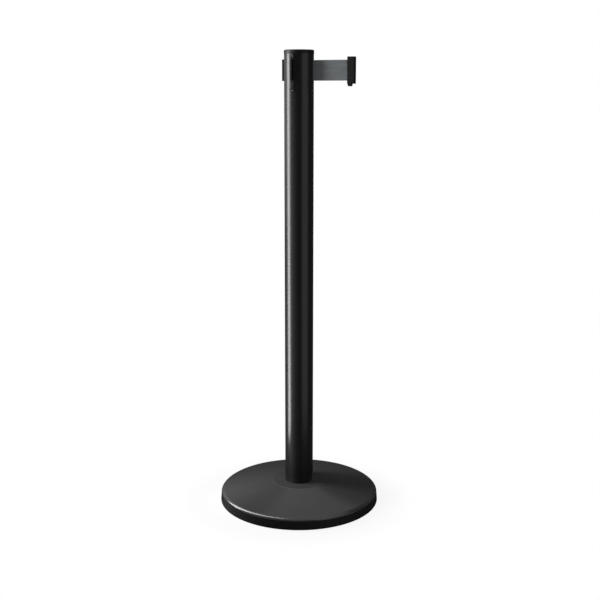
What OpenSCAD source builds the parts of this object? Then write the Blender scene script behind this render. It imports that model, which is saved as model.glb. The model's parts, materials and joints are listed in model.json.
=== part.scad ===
// Retractable belt stanchion: a weighted round base, a steel post, and a belt cassette in the
// head of the post with one belt outlet and three receivers for the belt ends of other posts.
// Millimetres, +Z up. The origin is on the floor under the post, and the belt leaves along +X.

/* [Post] */
// Outside diameter of the post tube
tube_od = 63.5; // [60:0.5:72]
// Wall of the post tube
tube_wall = 1.5; // [1.2:0.1:2.5]
// Height of the tube's top edge above the floor
tube_top_z = 1001.6; // [850:0.1:1150]

/* [Cap] */
// How far the cap stands out past the tube
cap_lip = 0.5; // [0.2:0.1:2]
// Height of the cap above the tube
cap_h = 8.2; // [5:0.1:14]
// Rounding of the cap's top edge
cap_round = 2.8; // [0.5:0.1:3]
// Thickness of the cap's top and rim
cap_wall = 2.5; // [1.5:0.1:3]
// Diameter of the peg that holds the cap in the cassette lid
cap_peg_d = 18; // [12:0.5:20]
// Length of the peg inside the lid
cap_peg_len = 3.6; // [2:0.1:4]

/* [Base] */
// Diameter of the base at the floor
base_d = 362; // [320:2:420]
// Height of the flat hub that the tube stands on
hub_z = 44.8; // [40:0.2:60]
// Diameter of the flat hub
hub_d = 122; // [100:1:150]
// Step from the hub down to the cone
hub_step = 0.6; // [0.4:0.1:2]
// Height of the rubber rim that shows below the cover
rim_h = 19.8; // [16:0.2:26]
// Inward lean of the rim from the floor to the cover
rim_lean = 1.6; // [0:0.1:5]
// Thickness of the rim's wall under the cover's edge
rim_wall = 4; // [3.4:0.1:6]
// Thickness of the rim's foot under the base
rim_foot_t = 3; // [2:0.1:5]
// Radial width of the rim's foot
rim_foot_w = 24; // [16:0.5:32]
// Height of the cover's edge above the rim, where cone and edge would meet
edge_h = 3.6; // [3.6:0.1:6]
// Rounding of the cover's edge
edge_round = 4.2; // [1.5:0.1:4.2]
// Sheet thickness of the cover
cover_t = 1.5; // [1:0.1:2.5]
// Thickness of the cast weight outside its boss
weight_t = 12; // [8:0.5:13]
// How far the boss stays inside the hub's edge
weight_boss_inset = 6; // [3:0.5:12]

/* [Base bolt] */
// Bolt diameter
bolt_d = 12; // [10:1:14]
// Hexagon across flats
bolt_af = 18; // [16:0.5:22]
// Height of the bolt head
bolt_head_h = 7.5; // [5:0.5:9]
// Length of the bolt under its head
bolt_len = 50; // [44:1:54]
// Washer diameter
washer_d = 34; // [28:1:44]
// Washer thickness
washer_t = 2.5; // [1.5:0.1:4]
// How far the bolt head stays above the weight's underside
bolt_recess = 1; // [0.5:0.1:3]
// Height of the plug in the foot of the tube
plug_h = 24; // [20:0.5:40]
// Diameter of the plug's spigot through the cover
spigot_d = 28; // [22:0.5:40]
// Length of the spigot inside the weight
spigot_len = 8; // [4:0.5:12]

/* [Cassette] */
// Distance from the tube's top edge down to the lid
lid_drop = 1; // [1:0.1:3]
// Thickness of the lid
lid_t = 9.2; // [8.4:0.1:12]
// Thickness of the cassette's bottom plate
floor_plate_t = 8; // [7:0.1:12]
// Radial thickness of the pillars
pillar_t = 4.6; // [4.2:0.1:5.4]
// Width of the pillars
pillar_w = 9; // [7:0.5:12]
// Diameter of the lid screws
lid_screw_d = 2.9; // [2.5:0.1:3]
// Head diameter of the lid screws
lid_screw_head_d = 4.1; // [3.6:0.1:4.2]
// Length of the lid screws
lid_screw_len = 18; // [14:0.5:24]
// Diameter of the spindle
spindle_d = 8; // [6:0.5:9]
// Hexagon across flats of the spindle's foot
spindle_af = 11; // [10:0.5:14]
// Height of the spindle's foot
spindle_foot_h = 3.8; // [3:0.1:4.5]
// How far the spindle goes into the lid
spindle_top_len = 4.2; // [3:0.1:4.5]

/* [Spool] */
// Outside diameter of the spool's core
core_d = 17; // [16:0.5:20]
// Thickness of the spool's flanges
flange_t = 1.7; // [1.2:0.1:2.5]
// Wall of the spool's bushes
bush_wall = 1.5; // [1:0.1:2]
// Length of the spool's bushes
bush_len = 8; // [5:0.5:14]
// Wall of the spring cup
cup_wall = 1.5; // [1.2:0.1:2]
// Thickness of the spring cover
spring_cover_t = 1.5; // [1:0.1:2.5]
// Thickness of the thrust washers
thrust_t = 0.7; // [0.4:0.1:1.5]
// Radial width of the thrust washers
thrust_w = 4.5; // [3:0.1:6]

/* [Power spring] */
// Width of the spring strip
spring_w = 11; // [8:0.5:16]
// Thickness of the spring strip
spring_t = 0.5; // [0.3:0.05:0.6]
// Least space between two coils
spring_space = 0.9; // [0.7:0.05:1.2]
// Gap between the spindle and the first coil
spring_inner_gap = 2.4; // [1.5:0.1:4]
// Distance from the axis to the end of the spring's inner hook
spring_hook_r = 1.2; // [0.8:0.1:2]

/* [Belt] */
// Width of the belt
belt_w = 42.5; // [35:0.1:50]
// Thickness of the belt
belt_t = 0.5; // [0.4:0.05:1]
// Length of belt that shows between the outlet and the belt end
belt_out = 80.9; // [20:0.1:120]
// Side gap between the belt and each flange
belt_side_gap = 0.7; // [0.4:0.1:1.5]
// Least space between two drawn turns on the spool
wound_space = 0.5; // [0.45:0.05:0.8]
// Radius of the belt's bend at the outlet
belt_bend_r = 4; // [2:0.5:5]
// Distance from the cassette's outside to the corner of that bend
belt_guide_inset = 2; // [2:0.1:4]
// How far the flanges stand past the wound belt
flange_rim = 3; // [2:0.1:6]

/* [Receivers] */
// Width of the plates
plate_w = 7; // [6.6:0.1:10]
// How far the plates stand out of the tube
plate_proud = 1.5; // [0.8:0.1:2.4]
// Height of the rails
rail_h = 45; // [36:0.5:50]
// Width of a rail's head
rail_head_w = 4.2; // [3.6:0.1:4.8]
// Depth of a rail's head
rail_head_d = 4; // [2.5:0.1:4.2]
// Width of a rail's neck
rail_neck_w = 2.2; // [1.6:0.1:2.6]
// Gap between a plate and a rail's head
rail_gap = 2.3; // [1.8:0.1:3]
// Rounding of the rail's outer corners
rail_round = 0.8; // [0.5:0.1:2.2]
// How much shorter the neck is at each end
rail_neck_inset = 1.5; // [0:0.1:4]
// Width of the rail's foot behind the plate
rail_foot_w = 9; // [7:0.1:11]
// Thickness of the rail's foot
rail_foot_t = 2.2; // [1.5:0.1:2.6]
// Distance from the upper screw down to the rail
rail_drop = 6.7; // [4:0.1:8]
// Width of the belt slot in the outlet plate
outlet_slot_w = 2.4; // [1.8:0.1:3.4]

/* [Plate screws] */
// Screw diameter
screw_d = 2.5; // [2.5:0.1:3.4]
// Screw head diameter
screw_head_d = 3.8; // [3.8:0.1:4.8]
// Screw head height
screw_head_h = 1.4; // [1:0.1:1.8]
// Length of thread in the cassette
screw_grip = 9; // [6:0.5:12]
// Depth of the cross recess
screw_cross_depth = 0.7; // [0.4:0.1:0.9]
// Width of the cross recess's arms
screw_cross_w = 0.6; // [0.5:0.05:0.9]
// Length of the cross recess from tip to tip
screw_cross_len = 2.2; // [2:0.1:2.8]
// How far the screw head lies below the plate's face
screw_sink = 0.2; // [0.1:0.05:0.5]
// Distance from the lid's top down to the upper screws
screw_edge = 3.6; // [3.4:0.1:4.6]

/* [Belt end] */
// Depth of the belt end along the belt
clip_d = 14.8; // [14:0.1:20]
// Thickness of the belt end
clip_w = 11.2; // [8.5:0.1:12]
// Height of the belt end
clip_h = 55.1; // [50:0.1:64]
// Rounding of the belt end's upright edges
clip_round = 0.6; // [0.5:0.1:1.6]
// Thickness of the lips that grip behind a rail's head
clip_lip_t = 1.5; // [1:0.1:1.6]
// Thickness of the roof over the groove and the belt's chamber
clip_roof = 4; // [3:0.1:6]
// Diameter of the chamber for the belt's loop
chamber_d = 6.6; // [6:0.1:7]
// Distance from the belt side to the chamber's axis
chamber_inset = 4.1; // [3.6:0.1:4.1]
// Diameter of the belt pin
pin_d = 4; // [3:0.1:4.2]
// Height of the pin's head below the belt end
pin_head_h = 5.2; // [3:0.1:8]
// Width of the pin's head where it meets the belt end
pin_head_w = 9; // [6.6:0.1:9]
// Width of the pin's head at its tip
pin_tip_w = 7; // [3.5:0.1:7]
// Depth of the notch across the pin's tip
pin_notch_h = 1.4; // [0.5:0.1:2]
// Width of the notch across the pin's tip
pin_notch_w = 1.2; // [0.8:0.1:2]
// Height of the collar that plugs the chamber
pin_collar_h = 3.6; // [2:0.1:3.8]

/* [Clearances] */
// Gap of parts that are put together by hand
fit_gap = 0.3; // [0.2:0.05:0.4]
// Gap of pressed and screwed parts
close_gap = 0.05; // [0.02:0.01:0.1]
// Radial clearance of the spool on its spindle
run_gap = 0.05; // [0.03:0.01:0.1]
// End float of the spool, above and below each thrust washer
end_float = 0.05; // [0.05:0.05:0.2]
// Gap between a rail's head and the belt end's groove
dock_gap = 0.3; // [0.2:0.05:0.4]

/* [Hidden] */
$fn = 96;
// Facets around the base
wide_fn = 192;

black_paint = "#1b1b1c";
black_plastic = "#242425";
black_rail = "#101011";
black_rubber = "#19191a";
grey_iron = "#4a4a4c";
bright_steel = "#b9bbbe";
white_nylon = "#d8d6cf";
grey_belt = "#66696c";

// A cut runs this far past the face that it opens
past = 1;
// Points in a full turn of a wound strip
turn_points = 30;
turn_step = 360 / turn_points;
// Azimuths of the belt outlet and of the three receivers, counted from the belt
outlet_azimuth = 0;
rear_azimuth = 90;
left_azimuth = 180;
front_azimuth = 270;
plate_azimuths = [outlet_azimuth, rear_azimuth, left_azimuth, front_azimuth];
// The pillars stand midway between the plates
pillar_azimuths = [for (a = plate_azimuths) a + 45];

// Post and base
tube_r = tube_od / 2;
bore_r = tube_r - tube_wall;
base_r = base_d / 2;
hub_r = hub_d / 2;
rim_top_r = base_r - rim_lean;
edge_z = rim_h + edge_h;
// The cover's skirt stands inside the rim's wall and on the rim's foot
skirt_r = rim_top_r - rim_wall;
weight_r = skirt_r - cover_t - fit_gap;
weight_boss_r = hub_r - weight_boss_inset;
weight_boss_z = hub_z - cover_t;
bolt_head_z = rim_foot_t + bolt_recess;
washer_z = bolt_head_z + bolt_head_h;
bolt_seat_z = washer_z + washer_t;
bolt_top_z = washer_z + bolt_len;
spigot_z = weight_boss_z - spigot_len;

// Cassette, from the top down
cassette_r = bore_r - fit_gap;
lid_top_z = tube_top_z - lid_drop;
lid_z = lid_top_z - lid_t;
thrust_space = thrust_t + 2 * end_float;
spool_top_z = lid_z - thrust_space;
belt_top_z = spool_top_z - flange_t - belt_side_gap;
belt_z = belt_top_z - belt_w;
belt_mid_z = belt_z + belt_w / 2;
lower_flange_z = belt_z - belt_side_gap - flange_t;
spring_top_z = lower_flange_z - fit_gap;
spring_z = spring_top_z - spring_w;
cup_z = spring_z - fit_gap;
spring_cover_z = cup_z - spring_cover_t;
floor_plate_top_z = spring_cover_z - thrust_space;
floor_plate_z = floor_plate_top_z - floor_plate_t;
upper_screw_z = lid_top_z - screw_edge;
lower_screw_z = floor_plate_z + floor_plate_t / 2;
pillar_inner_r = cassette_r - pillar_t;
pillar_mid_r = cassette_r - pillar_t / 2;
spindle_r = spindle_d / 2;
bush_inner_r = spindle_r + run_gap;
bush_outer_r = bush_inner_r + bush_wall;
core_r = core_d / 2;
// The flanges turn clear of the pillars
flange_r = pillar_inner_r - 2 * fit_gap;
cup_inner_r = flange_r - cup_wall;

// Power spring: the inner coil hooks into the spindle and the outer one into the cup
spring_first_r = spindle_r + spring_inner_gap;
spring_last_r = cup_inner_r - fit_gap - spring_t;
spring_turns = floor((spring_last_r - spring_first_r) / (spring_t + spring_space));
spring_pitch = (spring_last_r - spring_first_r) / spring_turns;

// Wound belt: the outermost turn leaves the spool on a tangent towards the outlet
wound_first_r = core_r + belt_t / 2 + close_gap;
wound_pitch = belt_t + wound_space;
wound_turns = floor((flange_r - flange_rim - wound_first_r) / wound_pitch);
wound_last_r = wound_first_r + wound_turns * wound_pitch;
belt_guide_x = cassette_r - belt_guide_inset;
tangent_angle = acos(wound_last_r / belt_guide_x);
belt_bend = 90 - tangent_angle;

// Receivers
plate_back_r = bore_r - close_gap;
plate_face_r = tube_r + plate_proud;
slot_gap = fit_gap / 2;
rail_slot_w = rail_head_w + fit_gap;
rail_neck_r = plate_face_r + rail_gap;
rail_tip_r = rail_neck_r + rail_head_d;
rail_top_z = upper_screw_z - rail_drop;
rail_z = rail_top_z - rail_h;
rail_foot_top_z = min(rail_top_z, lid_z - fit_gap);
// The foot is flat and lies against the round inside of the tube
rail_foot_r = sqrt(pow(bore_r - close_gap, 2) - pow(rail_foot_w / 2, 2));
screw_hole_r = screw_d / 2 + close_gap;
screw_head_r = screw_head_d / 2;
screw_seat_r = plate_face_r - screw_sink - screw_head_h;
screw_tip_r = plate_back_r - screw_grip;

// Belt end
clip_x = plate_face_r + belt_out;
clip_outer_x = clip_x + clip_d;
clip_z = belt_mid_z - clip_h / 2;
clip_top_z = clip_z + clip_h;
groove_w = rail_head_w + 2 * dock_gap;
groove_d = rail_head_d + 2 * dock_gap;
groove_mouth_w = rail_neck_w + 2 * dock_gap;
groove_x = clip_outer_x - clip_lip_t - groove_d;
chamber_x = clip_x + chamber_inset;
chamber_r = chamber_d / 2;
// The belt passes the slit with twice the fitting gap on each side
belt_slit_w = belt_t + 2 * (2 * fit_gap);
pin_r = pin_d / 2;
pin_top_z = clip_top_z - clip_roof - fit_gap;
loop_inner_r = pin_r + close_gap;
loop_outer_r = loop_inner_r + belt_t;

// Point at radius r and angle a
function polar(r, a) = [r * cos(a), r * sin(a)];

// Points on an arc around c
function arc(c, r, a0, a1, n) = [for (i = [0:n]) c + polar(r, a0 + (a1 - a0) * i / n)];

function unit(v) = v / norm(v);

// Points of a fillet of radius r at the corner b between a and c
function fillet(a, b, c, r, n = 10) =
    let (
        u = unit(a - b), v = unit(c - b),
        half = acos(u * v) / 2,
        centre = b + unit(u + v) * r / sin(half),
        from = b + u * r / tan(half), to = b + v * r / tan(half),
        a0 = atan2(from.y - centre.y, from.x - centre.x),
        a1 = atan2(to.y - centre.y, to.x - centre.x),
        turn = a1 - a0 > 180 ? a1 - a0 - 360 : a1 - a0 < -180 ? a1 - a0 + 360 : a1 - a0
    )
    arc(centre, r, a0, a0 + turn, n);

// Left-hand normal of a line of points at point i
function side(p, i) =
    let (d = unit(p[min(i + 1, len(p) - 1)] - p[max(i - 1, 0)])) [-d.y, d.x];

// Outline of a strip of thickness t along a line of points
function strip(p, t) = concat(
    [for (i = [0:len(p) - 1]) p[i] + side(p, i) * t / 2],
    [for (i = [len(p) - 1:-1:0]) p[i] - side(p, i) * t / 2]
);

// Spiral of whole turns from radius r0, growing by pitch each turn, that ends at angle a1
function spiral(r0, pitch, turns, a1) = [
    for (i = [0:turns * turn_points])
        polar(r0 + pitch * i / turn_points, a1 - (turns * turn_points - i) * turn_step)
];

// Least distance from each point of a spiral to the turn outside it, less the strip's thickness
function least_gap(p, t) = min([
    for (i = [0:len(p) - turn_points - 1]) norm(p[i + turn_points] - p[i])
]) * cos(turn_step / 2) - t;

// Upright prism along X, from x0 to x1, of an outline drawn in Y and Z
module along_x(x0, x1) {
    translate([x0, 0, 0]) rotate([90, 0, 90]) linear_extrude(x1 - x0) children();
}

// Cylinder along X
module rod_x(r, x0, x1, z) {
    translate([x0, 0, z]) rotate([0, 90, 0]) cylinder(r = r, h = x1 - x0);
}

// Box from corner a to corner b
module box(a, b) {
    translate(a) cube(b - a);
}

// Ring between two radii, from z0 to z1
module ring(r0, r1, z0, z1) {
    translate([0, 0, z0]) difference() {
        cylinder(r = r1, h = z1 - z0);
        translate([0, 0, -past]) cylinder(r = r0, h = z1 - z0 + 2 * past);
    }
}

// Slot outline with round ends around two heights
module slot_outline(w, z0, z1) {
    translate([-w / 2, z0]) square([w, z1 - z0]);
    for (z = [z0, z1]) translate([0, z]) circle(d = w);
}

// Half section of the rubber rim: a leaning wall on a flat foot
module rim_section() {
    foot_r = base_r - rim_foot_w;
    wall_r = skirt_r + fit_gap;
    polygon([
        [foot_r, 0], [base_r, 0], [rim_top_r, rim_h], [wall_r, rim_h], [wall_r, rim_foot_t],
        [foot_r, rim_foot_t]
    ]);
}

// Outside of the cover's half section, from the edge up over the cone to the hub
function cover_outline() =
    let (
        edge_foot = [rim_top_r, rim_h],
        corner = [rim_top_r, edge_z],
        cone_top = [hub_r + hub_step, hub_z - hub_step]
    )
    concat([edge_foot], fillet(edge_foot, corner, cone_top, edge_round), [cone_top, [hub_r, hub_z]]);

// Height of the cone's outside at radius r
function cone_z(r) =
    let (top_r = hub_r + hub_step, top_z = hub_z - hub_step)
    top_z + (edge_z - top_z) * (r - top_r) / (rim_top_r - top_r);

module cover_section() {
    hollow_r = skirt_r - cover_t;
    difference() {
        polygon(concat(
            [[0, rim_foot_t], [skirt_r, rim_foot_t], [skirt_r, rim_h]],
            cover_outline(),
            [[0, hub_z]]
        ));
        polygon([
            [0, rim_foot_t - past], [hollow_r, rim_foot_t - past], [hollow_r, cone_z(hollow_r) - cover_t],
            [hub_r, cone_z(hub_r) - cover_t], [hub_r, weight_boss_z], [0, weight_boss_z]
        ]);
    }
}

module rim_ring() {
    color(black_rubber) rotate_extrude($fn = wide_fn) rim_section();
}

module base_weight() {
    color(grey_iron) difference() {
        union() {
            translate([0, 0, rim_foot_t]) cylinder(r = weight_r, h = weight_t);
            translate([0, 0, rim_foot_t]) cylinder(r = weight_boss_r, h = weight_boss_z - rim_foot_t);
        }
        translate([0, 0, rim_foot_t - past])
            cylinder(r = washer_d / 2 + fit_gap, h = bolt_seat_z - rim_foot_t + past);
        translate([0, 0, bolt_seat_z - past])
            cylinder(r = bolt_d / 2 + fit_gap, h = weight_boss_z - bolt_seat_z);
        translate([0, 0, spigot_z - fit_gap])
            cylinder(r = spigot_d / 2 + fit_gap, h = weight_boss_z - spigot_z + fit_gap + past);
    }
}

module base_cover() {
    color(black_paint) difference() {
        rotate_extrude($fn = wide_fn) cover_section();
        translate([0, 0, weight_boss_z - past])
            cylinder(r = spigot_d / 2 + fit_gap, h = cover_t + 2 * past);
    }
}

module base_bolt() {
    color(bright_steel) {
        translate([0, 0, bolt_head_z]) cylinder(d = bolt_af / cos(30), h = bolt_head_h, $fn = 6);
        translate([0, 0, bolt_head_z]) cylinder(d = bolt_d, h = bolt_head_h + bolt_len);
    }
}

module bolt_washer() {
    color(bright_steel) ring(bolt_d / 2 + fit_gap, washer_d / 2, washer_z, bolt_seat_z);
}

module foot_plug() {
    color(grey_iron) difference() {
        union() {
            translate([0, 0, hub_z]) cylinder(r = bore_r - close_gap, h = plug_h);
            translate([0, 0, spigot_z]) cylinder(d = spigot_d, h = hub_z - spigot_z + past);
        }
        translate([0, 0, spigot_z - past])
            cylinder(r = bolt_d / 2 + close_gap, h = bolt_top_z - spigot_z + past + fit_gap);
    }
}

module post_tube() {
    color(black_paint) difference() {
        ring(bore_r, tube_r, hub_z, tube_top_z);
        for (a = plate_azimuths) rotate(a)
            along_x(bore_r - tube_wall, tube_r + past)
                slot_outline(plate_w + 2 * slot_gap, lower_screw_z, upper_screw_z);
    }
}

module top_cap() {
    cap_r = tube_r + cap_lip;
    top_z = tube_top_z + cap_h;
    peg_z = lid_top_z - cap_peg_len;
    spigot_r = bore_r - fit_gap;
    color(black_plastic) {
        rotate_extrude() difference() {
            polygon(concat(
                [[0, tube_top_z], [cap_r, tube_top_z]],
                arc([cap_r - cap_round, top_z - cap_round], cap_round, 0, 90, 8),
                [[0, top_z]]
            ));
            translate([-past, tube_top_z - past])
                square([spigot_r - cap_wall + past, cap_h - cap_wall + past]);
        }
        ring(spigot_r - cap_wall, spigot_r, lid_top_z + fit_gap, tube_top_z + past / 2);
        translate([0, 0, peg_z]) cylinder(d = cap_peg_d, h = top_z - cap_wall / 2 - peg_z);
    }
}

// Holes for the screws of all four plates, at height z
module plate_screw_holes(z) {
    for (a = plate_azimuths) rotate(a) rod_x(screw_hole_r, screw_tip_r - fit_gap, cassette_r + past, z);
}

module cassette_frame() {
    color(white_nylon) difference() {
        union() {
            translate([0, 0, floor_plate_z]) cylinder(r = cassette_r, h = floor_plate_t);
            for (a = pillar_azimuths) rotate(a) intersection() {
                ring(pillar_inner_r, cassette_r, floor_plate_z, lid_z);
                box([0, -pillar_w / 2, floor_plate_z], [tube_r, pillar_w / 2, lid_z]);
            }
        }
        plate_screw_holes(lower_screw_z);
        translate([0, 0, floor_plate_z - past])
            cylinder(r = spindle_r + close_gap, h = floor_plate_t + 2 * past);
        translate([0, 0, floor_plate_z - past])
            cylinder(d = (spindle_af + 2 * close_gap) / cos(30), h = spindle_foot_h + past, $fn = 6);
        for (a = pillar_azimuths) rotate(a)
            translate([pillar_mid_r, 0, lid_top_z - lid_screw_len - fit_gap])
                cylinder(r = lid_screw_d / 2 + close_gap, h = lid_screw_len);
    }
}

module cassette_lid() {
    color(white_nylon) difference() {
        translate([0, 0, lid_z]) cylinder(r = cassette_r, h = lid_t);
        plate_screw_holes(upper_screw_z);
        translate([0, 0, lid_z - past])
            cylinder(r = spindle_r + close_gap, h = spindle_top_len + close_gap + past);
        translate([0, 0, lid_top_z - cap_peg_len - close_gap])
            cylinder(r = cap_peg_d / 2 + close_gap, h = cap_peg_len + past);
        for (a = pillar_azimuths) rotate(a) translate([pillar_mid_r, 0, 0]) {
            translate([0, 0, lid_z - past]) cylinder(r = lid_screw_d / 2 + close_gap, h = lid_t + 2 * past);
            translate([0, 0, lid_top_z - screw_head_h - screw_sink])
                cylinder(r = lid_screw_head_d / 2 + close_gap, h = screw_head_h + past);
        }
    }
}

module lid_screws() {
    head_z = lid_top_z - screw_sink - screw_head_h;
    color(bright_steel) for (a = pillar_azimuths) rotate(a) translate([pillar_mid_r, 0, 0]) difference() {
        union() {
            translate([0, 0, lid_top_z - lid_screw_len])
                cylinder(d = lid_screw_d, h = lid_screw_len - screw_head_h);
            translate([0, 0, head_z]) cylinder(d = lid_screw_head_d, h = screw_head_h);
        }
        cross_recess_z(head_z + screw_head_h);
    }
}

// Cross recess in a screw head whose top is at height z
module cross_recess_z(z) {
    half_w = screw_cross_w / 2;
    half_len = screw_cross_len / 2;
    for (a = [0, 90]) rotate(a)
        box([-half_len, -half_w, z - screw_cross_depth], [half_len, half_w, z + past]);
}

module spindle() {
    top_z = lid_z + spindle_top_len;
    slot_w = spring_t + 2 * fit_gap;
    color(bright_steel) difference() {
        union() {
            translate([0, 0, floor_plate_z])
                cylinder(d = spindle_af / cos(30), h = spindle_foot_h - close_gap, $fn = 6);
            translate([0, 0, floor_plate_z]) cylinder(r = spindle_r, h = top_z - floor_plate_z);
        }
        box([0, -slot_w / 2, spring_z - fit_gap], [spindle_d, slot_w / 2, spring_top_z + fit_gap]);
    }
}

module thrust_washer_lower() {
    z = floor_plate_top_z + end_float;
    color(white_nylon) ring(spindle_r + run_gap, spindle_r + run_gap + thrust_w, z, z + thrust_t);
}

module thrust_washer_upper() {
    z = spool_top_z + end_float;
    color(white_nylon) ring(spindle_r + run_gap, spindle_r + run_gap + thrust_w, z, z + thrust_t);
}

module spool() {
    slit_w = spring_t + 2 * fit_gap;
    color(white_nylon) difference() {
        union() {
            translate([0, 0, lower_flange_z]) cylinder(r = core_r, h = spool_top_z - lower_flange_z);
            translate([0, 0, lower_flange_z]) cylinder(r = flange_r, h = flange_t);
            translate([0, 0, spool_top_z - flange_t]) cylinder(r = flange_r, h = flange_t);
            ring(cup_inner_r, flange_r, cup_z, lower_flange_z + flange_t / 2);
        }
        translate([0, 0, lower_flange_z - past])
            cylinder(r = bush_outer_r + close_gap, h = spool_top_z - lower_flange_z + 2 * past);
        // Slit that the spring's outer end hooks into
        box([0, -slit_w / 2, cup_z - past], [flange_r + past, slit_w / 2, spring_top_z]);
    }
}

// Bush in the spool's core, from height z
module bush(z) {
    color(bright_steel) ring(bush_inner_r, bush_outer_r, z, z + bush_len);
}

module bush_lower() {
    bush(lower_flange_z);
}

module bush_upper() {
    bush(spool_top_z - bush_len);
}

module power_spring() {
    coil = spiral(spring_first_r, spring_pitch, spring_turns, 360);
    inner_end = [spring_hook_r, 0];
    outer_end = [cup_inner_r + cup_wall / 2, 0];
    echo(power_spring_least_gap = least_gap(coil, spring_t));
    color(bright_steel) translate([0, 0, spring_z]) linear_extrude(spring_w) {
        polygon(strip(coil, spring_t));
        polygon(strip([inner_end, coil[0] + [spring_t / 2, 0]], spring_t));
        polygon(strip([coil[len(coil) - 1] - [spring_t / 2, 0], outer_end], spring_t));
    }
}

module spring_cover() {
    color(white_nylon) {
        ring(spindle_r + fit_gap, flange_r, spring_cover_z, cup_z);
        // Rim that centres the cover inside the cup
        ring(cup_inner_r - spring_t, cup_inner_r - close_gap, cup_z - past / 2, cup_z + fit_gap / 2);
    }
}

module belt_wound() {
    turns = spiral(wound_first_r, wound_pitch, wound_turns, -tangent_angle);
    echo(belt_wound_turns = wound_turns, least_gap = least_gap(turns, belt_t));
    color(grey_belt) translate([0, 0, belt_z]) linear_extrude(belt_w) polygon(strip(turns, belt_t));
}

module belt_free() {
    tangent = polar(wound_last_r, -tangent_angle);
    along = polar(1, belt_bend);
    bend_start = [belt_guide_x, 0] - along * belt_bend_r * tan(belt_bend / 2);
    bend_centre = bend_start + polar(belt_bend_r, belt_bend - 90);
    route = concat(
        [tangent + along * fit_gap],
        arc(bend_centre, belt_bend_r, belt_bend + 90, 90, 6),
        [[chamber_x - loop_inner_r - belt_t / 2, 0]]
    );
    color(grey_belt) {
        translate([0, 0, belt_z]) linear_extrude(belt_w) polygon(strip(route, belt_t));
        translate([chamber_x, 0, 0]) ring(loop_inner_r, loop_outer_r, belt_z, belt_top_z);
    }
}

// Plate with round ends and a sunk screw hole near each end, on the +X side of the tube
module plate_blank() {
    difference() {
        along_x(plate_back_r, plate_face_r) slot_outline(plate_w, lower_screw_z, upper_screw_z);
        for (z = [lower_screw_z, upper_screw_z]) {
            rod_x(screw_hole_r, plate_back_r - past, plate_face_r + past, z);
            rod_x(screw_head_r + close_gap, screw_seat_r, plate_face_r + past, z);
        }
    }
}

module outlet_plate() {
    color(black_paint) rotate(outlet_azimuth) difference() {
        plate_blank();
        box(
            [plate_back_r - past, -outlet_slot_w / 2, belt_z - fit_gap],
            [plate_face_r + past, outlet_slot_w / 2, belt_top_z + fit_gap]
        );
    }
}

// Plate with a slot that a rail stands through
module receiver_plate(azimuth) {
    color(black_paint) rotate(azimuth) difference() {
        plate_blank();
        box(
            [plate_back_r - past, -rail_slot_w / 2, rail_z - slot_gap],
            [plate_face_r + past, rail_slot_w / 2, rail_top_z + slot_gap]
        );
    }
}

module receiver_plate_rear() {
    receiver_plate(rear_azimuth);
}

module receiver_plate_left() {
    receiver_plate(left_azimuth);
}

module receiver_plate_front() {
    receiver_plate(front_azimuth);
}

// Side view of a rail's head, with its two outer corners rounded
module rail_head_outline() {
    translate([rail_neck_r, rail_z]) square([rail_head_d - rail_round, rail_h]);
    translate([rail_neck_r, rail_z + rail_round]) square([rail_head_d, rail_h - 2 * rail_round]);
    for (z = [rail_z + rail_round, rail_top_z - rail_round])
        translate([rail_tip_r - rail_round, z]) circle(r = rail_round);
}

// Rail of T section that a belt end slides down over, with a foot behind its plate
module receiver_rail(azimuth) {
    foot_back_r = rail_foot_r - rail_foot_t;
    color(black_rail) rotate(azimuth) {
        translate([0, rail_head_w / 2, 0]) rotate([90, 0, 0])
            linear_extrude(rail_head_w) rail_head_outline();
        box(
            [plate_face_r - past, -rail_neck_w / 2, rail_z + rail_neck_inset],
            [rail_neck_r + rail_head_d / 2, rail_neck_w / 2, rail_top_z - rail_neck_inset]
        );
        box([foot_back_r, -rail_head_w / 2, rail_z], [plate_face_r, rail_head_w / 2, rail_foot_top_z]);
        box([foot_back_r, -rail_foot_w / 2, rail_z], [rail_foot_r, rail_foot_w / 2, rail_foot_top_z]);
    }
}

module receiver_rail_rear() {
    receiver_rail(rear_azimuth);
}

module receiver_rail_left() {
    receiver_rail(left_azimuth);
}

module receiver_rail_front() {
    receiver_rail(front_azimuth);
}

module plate_screws() {
    head_top_r = screw_seat_r + screw_head_h;
    color(bright_steel)
        for (a = plate_azimuths, z = [lower_screw_z, upper_screw_z]) rotate(a) difference() {
            union() {
                rod_x(screw_d / 2, screw_tip_r, head_top_r, z);
                rod_x(screw_head_r, screw_seat_r, head_top_r, z);
            }
            translate([0, 0, z]) rotate([0, 90, 0]) cross_recess_z(head_top_r);
        }
}

// Plan of the belt end, with its upright edges rounded
module clip_outline() {
    inset = clip_round;
    translate([clip_x + inset, -clip_w / 2]) square([clip_d - 2 * inset, clip_w]);
    translate([clip_x, -clip_w / 2 + inset]) square([clip_d, clip_w - 2 * inset]);
    for (x = [clip_x + inset, clip_outer_x - inset], y = [-1, 1])
        translate([x, y * (clip_w / 2 - inset)]) circle(r = inset);
}

module belt_end_body() {
    groove_top_z = clip_top_z - clip_roof;
    color(black_plastic) difference() {
        translate([0, 0, clip_z]) linear_extrude(clip_h) clip_outline();
        // Groove that slides over a rail, open below
        box(
            [groove_x, -groove_w / 2, clip_z - past],
            [groove_x + groove_d, groove_w / 2, groove_top_z]
        );
        box(
            [groove_x + groove_d / 2, -groove_mouth_w / 2, clip_z - past],
            [clip_outer_x + past, groove_mouth_w / 2, groove_top_z]
        );
        // Chamber for the belt's loop, and the slit that the belt leaves by
        translate([chamber_x, 0, clip_z - past]) cylinder(r = chamber_r, h = groove_top_z - clip_z + past);
        box(
            [clip_x - past, -belt_slit_w / 2, clip_z - past],
            [chamber_x, belt_slit_w / 2, belt_top_z + fit_gap]
        );
    }
}

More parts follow.
